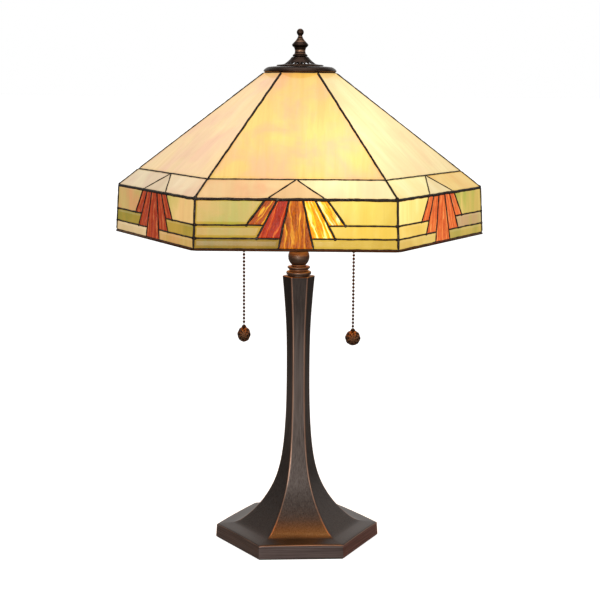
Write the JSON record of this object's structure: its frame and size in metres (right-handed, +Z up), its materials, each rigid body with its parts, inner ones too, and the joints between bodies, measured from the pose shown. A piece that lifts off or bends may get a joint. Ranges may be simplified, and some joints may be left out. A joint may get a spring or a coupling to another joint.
{
  "type": "table lamp",
  "caption": "Stained glass table lamp: hexagonal leaded shade with ray motifs, pierced cap and finial, flared hexagonal bronze column, bead pull chains and screw-in bulbs.",
  "frame": {"origin": "centre of the foot's underside, on the lamp's upright axis", "axes": "+Z up along the column; -Y is the front, with one face of the shade square to it; the pull chains hang at -X (left) and +X (right)"},
  "size_m": [0.4064, 0.352, 0.572],
  "materials": {
    "bronze": "dark antique bronze with copper rubbed edges, satin",
    "bronze_chain": "darkened brass bead chain, satin",
    "solder": "dark patinated solder with grey highlights",
    "copper_wire": "dull copper-brown wire",
    "brass": "satin brass",
    "steel": "zinc-plated steel",
    "iron": "rough iron",
    "felt": "green felt",
    "insulator": "moulded insulating body",
    "cable": "brown flexible cable",
    "copper": "insulated copper wire",
    "bulb_cap": "bright screw cap",
    "bulb_glass": "frosted warm white lamp glass",
    "cream_glass": "opalescent cream and peach sheet glass",
    "green_glass": "opalescent green and amber streaky glass",
    "red_glass": "streaky red-orange textured glass",
    "amber_glass": "streaky amber textured glass"
  },
  "bodies": {
    "lamp": {"base_column": "bronze", "felt_pad": "felt", "ballast_plate": "iron", "rod_nut": "steel", "rod_washer": "steel", "centre_rod": "steel", "column_collar": "bronze", "neck_spindle": "bronze", "cluster_body": "brass", "flex_cable": "cable", "flex_grommet": "cable", "lead_wires": "copper", "riser_rod": "steel", "cap_seat": "brass", "seat_nut": "brass", "left_socket_nipple": "brass", "left_socket_cap": "brass", "left_socket_shell": "brass", "left_socket_liner": "insulator", "left_screw_shell": "brass", "left_centre_contact": "brass", "left_bell_mouth": "brass", "right_socket_nipple": "brass", "right_socket_cap": "brass", "right_socket_shell": "brass", "right_socket_liner": "insulator", "right_screw_shell": "brass", "right_centre_contact": "brass", "right_bell_mouth": "brass"},
    "shade": {"shade_leading": "solder", "rim_wire": "copper_wire", "shade_top_ring": "brass", "vase_cap": "bronze", "pierced_cap": "bronze", "upper_panel_glass": "cream_glass", "shoulder_glass": "cream_glass", "gable_glass": "cream_glass", "centre_ray_glass": "amber_glass", "inner_ray_glass": "red_glass", "outer_ray_glass": "red_glass", "top_band_glass": "green_glass", "middle_band_glass": "green_glass", "lower_band_glass": "green_glass"},
    "finial_insert": {"finial_insert": "brass"},
    "finial": {"finial": "bronze"},
    "left_bulb_cap": {"left_bulb_cap": "bulb_cap"},
    "left_bulb": {"left_bulb_glass": "bulb_glass", "left_bulb_stem": "bulb_glass"},
    "left_switch_chain": {"left_switch_chain": "bronze_chain"},
    "left_chain_coupling": {"left_chain_coupling": "bronze"},
    "left_pull_chain": {"left_bead_chain": "bronze_chain", "left_pull_ball": "bronze"},
    "right_bulb_cap": {"right_bulb_cap": "bulb_cap"},
    "right_bulb": {"right_bulb_glass": "bulb_glass", "right_bulb_stem": "bulb_glass"},
    "right_switch_chain": {"right_switch_chain": "bronze_chain"},
    "right_chain_coupling": {"right_chain_coupling": "bronze"},
    "right_pull_chain": {"right_bead_chain": "bronze_chain", "right_pull_ball": "bronze"}
  },
  "joints": [
    {"name": "shade_turn", "type": "hinge", "parent": "lamp", "child": "shade", "pos_m": [0, 0, 0.53], "axis": [0, 0, 1], "continuous": true},
    {"name": "finial_rise", "type": "slide", "parent": "lamp", "child": "finial_insert", "axis": [0, 0, 1], "range_m": [0, 0.0076]},
    {"name": "finial_turn", "type": "hinge", "parent": "finial_insert", "child": "finial", "pos_m": [0, 0, 0.55], "axis": [0, 0, 1], "range_deg": [0, 2880]},
    {"name": "left_bulb_travel", "type": "slide", "parent": "lamp", "child": "left_bulb_cap", "axis": [-0.342, 0, 0.9397], "range_m": [0, 0.022]},
    {"name": "left_bulb_turn", "type": "hinge", "parent": "left_bulb_cap", "child": "left_bulb", "pos_m": [-0.024, 0, 0.372], "axis": [-0.342, 0, 0.9397], "range_deg": [0, 2160]},
    {"name": "left_chain_pull", "type": "slide", "parent": "lamp", "child": "left_switch_chain", "axis": [0, 0, -1], "range_m": [0, 0.008], "stiffness_N_per_m": 120, "springref_m": -0.01},
    {"name": "left_chain_swing_side", "type": "hinge", "parent": "left_switch_chain", "child": "left_chain_coupling", "pos_m": [-0.061, 0, 0.3754], "axis": [0, 1, 0], "range_deg": [-15, 30]},
    {"name": "left_chain_swing_fore", "type": "hinge", "parent": "left_chain_coupling", "child": "left_pull_chain", "pos_m": [-0.061, 0, 0.3674], "axis": [1, 0, 0], "range_deg": [-30, 30]},
    {"name": "right_bulb_travel", "type": "slide", "parent": "lamp", "child": "right_bulb_cap", "axis": [0.342, 0, 0.9397], "range_m": [0, 0.022]},
    {"name": "right_bulb_turn", "type": "hinge", "parent": "right_bulb_cap", "child": "right_bulb", "pos_m": [0.024, 0, 0.372], "axis": [0.342, 0, 0.9397], "range_deg": [0, 2160]},
    {"name": "right_chain_pull", "type": "slide", "parent": "lamp", "child": "right_switch_chain", "axis": [0, 0, -1], "range_m": [0, 0.008], "stiffness_N_per_m": 120, "springref_m": -0.01},
    {"name": "right_chain_swing_side", "type": "hinge", "parent": "right_switch_chain", "child": "right_chain_coupling", "pos_m": [0.061, 0, 0.3754], "axis": [0, -1, 0], "range_deg": [-15, 30]},
    {"name": "right_chain_swing_fore", "type": "hinge", "parent": "right_chain_coupling", "child": "right_pull_chain", "pos_m": [0.061, 0, 0.3674], "axis": [1, 0, 0], "range_deg": [-30, 30]}
  ],
  "couplings": [
    {"joint": "finial_rise", "follows": "finial_turn", "m_per_rad": 0.00014961},
    {"joint": "left_bulb_travel", "follows": "left_bulb_turn", "m_per_rad": 0.00057773},
    {"joint": "right_bulb_travel", "follows": "right_bulb_turn", "m_per_rad": 0.00057773}
  ]
}
